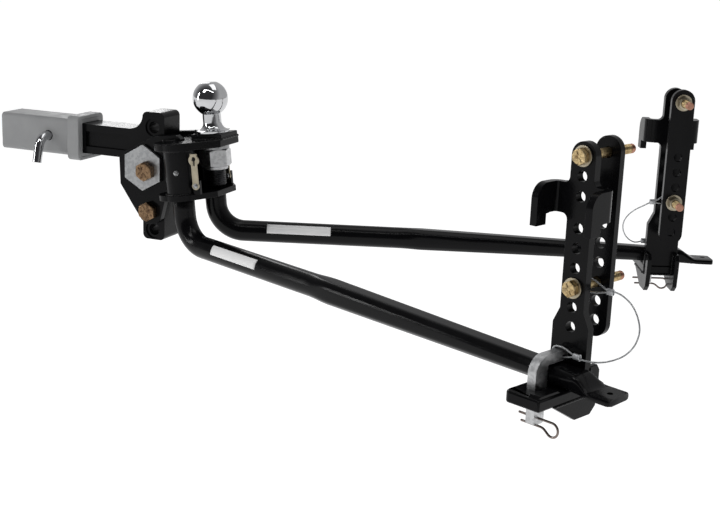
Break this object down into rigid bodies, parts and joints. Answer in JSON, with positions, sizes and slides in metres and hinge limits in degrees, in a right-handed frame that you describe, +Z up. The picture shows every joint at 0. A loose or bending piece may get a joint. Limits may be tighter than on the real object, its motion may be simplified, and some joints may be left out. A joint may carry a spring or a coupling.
{
  "type": "weight distribution hitch",
  "caption": "Trailer hitch with a drop shank, ball head, swinging L-shaped spring bars and sliding frame brackets.",
  "frame": {"origin": "centre of the hitch ball", "axes": "+X from the tow vehicle to the trailer, +Y to the far side, +Z up"},
  "size_m": [1.1893, 0.859, 0.3692],
  "materials": {
    "black_paint": "gloss powder coat",
    "bar_paint": "gloss powder coat",
    "grey_primer": "matte primer",
    "chrome": "polished",
    "yellow_zinc": "yellow zinc plate",
    "grey_zinc": "grey zinc plate",
    "spring_wire": "dark spring steel",
    "wire_rope": "galvanised"
  },
  "bodies": {
    "hitch": {"receiver_tube": "grey_primer", "receiver_collar": "grey_primer", "shank": "black_paint", "head_top_plate": "black_paint", "head_floor_plate": "black_paint", "head_cheeks": "black_paint", "clip_lugs": "black_paint", "cam_plates": "grey_zinc", "head_bolts": "yellow_zinc", "head_nuts": "yellow_zinc", "ball_pad": "black_paint", "pad_pin": "black_paint", "hitch_ball": "chrome", "ball_washer": "grey_zinc", "ball_nut": "grey_zinc", "grease_fittings": "grey_zinc", "clip_rivets": "grey_zinc", "socket_near": "black_paint", "socket_far": "black_paint"},
    "hitch_pin": {"hitch_pin": "chrome"},
    "bar_near": {"spring_bar_near": "bar_paint"},
    "bracket_near": {"outer_plate_near": "black_paint", "inner_plate_near": "black_paint", "shelf_near": "black_paint", "shelf_strip_near": "black_paint", "gussets_near": "black_paint", "retainer_near": "grey_zinc", "frame_bolts_near": "yellow_zinc", "frame_washers_near": "yellow_zinc", "frame_nuts_near": "yellow_zinc", "lanyard_near": "wire_rope", "ferrules_near": "wire_rope"},
    "hairpin_near": {"hairpin_near": "spring_wire"},
    "bar_clip_near": {"bar_clip_near": "yellow_zinc"},
    "bar_far": {"spring_bar_far": "bar_paint"},
    "bracket_far": {"outer_plate_far": "black_paint", "inner_plate_far": "black_paint", "shelf_far": "black_paint", "shelf_strip_far": "black_paint", "gussets_far": "black_paint", "retainer_far": "grey_zinc", "frame_bolts_far": "yellow_zinc", "frame_washers_far": "yellow_zinc", "frame_nuts_far": "yellow_zinc", "lanyard_far": "wire_rope", "ferrules_far": "wire_rope"},
    "hairpin_far": {"hairpin_far": "spring_wire"},
    "bar_clip_far": {"bar_clip_far": "yellow_zinc"}
  },
  "joints": [
    {"name": "hitch_pin_turn", "type": "hinge", "parent": "hitch", "child": "hitch_pin", "pos_m": [-0.3, 0, -0.085], "axis": [0, 1, 0], "range_deg": [-180, 180]},
    {"name": "bar_swing_near", "type": "hinge", "parent": "hitch", "child": "bar_near", "pos_m": [-0.0241, -0.054, -0.11515], "axis": [0.1045, 0, -0.9945], "range_deg": [-16, 60]},
    {"name": "bracket_slide_near", "type": "slide", "parent": "bar_near", "child": "bracket_near", "axis": [0.9201, -0.3915, -0.0145], "range_m": [-0.04, 0.02]},
    {"name": "hairpin_pull_near", "type": "slide", "parent": "bracket_near", "child": "hairpin_near", "axis": [0.9202, -0.3916, 0], "range_m": [0, 0.04]},
    {"name": "bar_clip_swing_near", "type": "hinge", "parent": "hitch", "child": "bar_clip_near", "pos_m": [0.01212, -0.068, -0.13447], "axis": [0, 1, 0], "range_deg": [0, 85]},
    {"name": "bar_swing_far", "type": "hinge", "parent": "hitch", "child": "bar_far", "pos_m": [-0.0241, 0.054, -0.11515], "axis": [-0.1045, 0, 0.9945], "range_deg": [-16, 60]},
    {"name": "bracket_slide_far", "type": "slide", "parent": "bar_far", "child": "bracket_far", "axis": [0.9201, 0.3915, -0.0145], "range_m": [-0.04, 0.02]},
    {"name": "hairpin_pull_far", "type": "slide", "parent": "bracket_far", "child": "hairpin_far", "axis": [0.9202, 0.3916, 0], "range_m": [0, 0.04]},
    {"name": "bar_clip_swing_far", "type": "hinge", "parent": "hitch", "child": "bar_clip_far", "pos_m": [0.01212, 0.04, -0.13447], "axis": [0, 1, 0], "range_deg": [0, 85]}
  ]
}
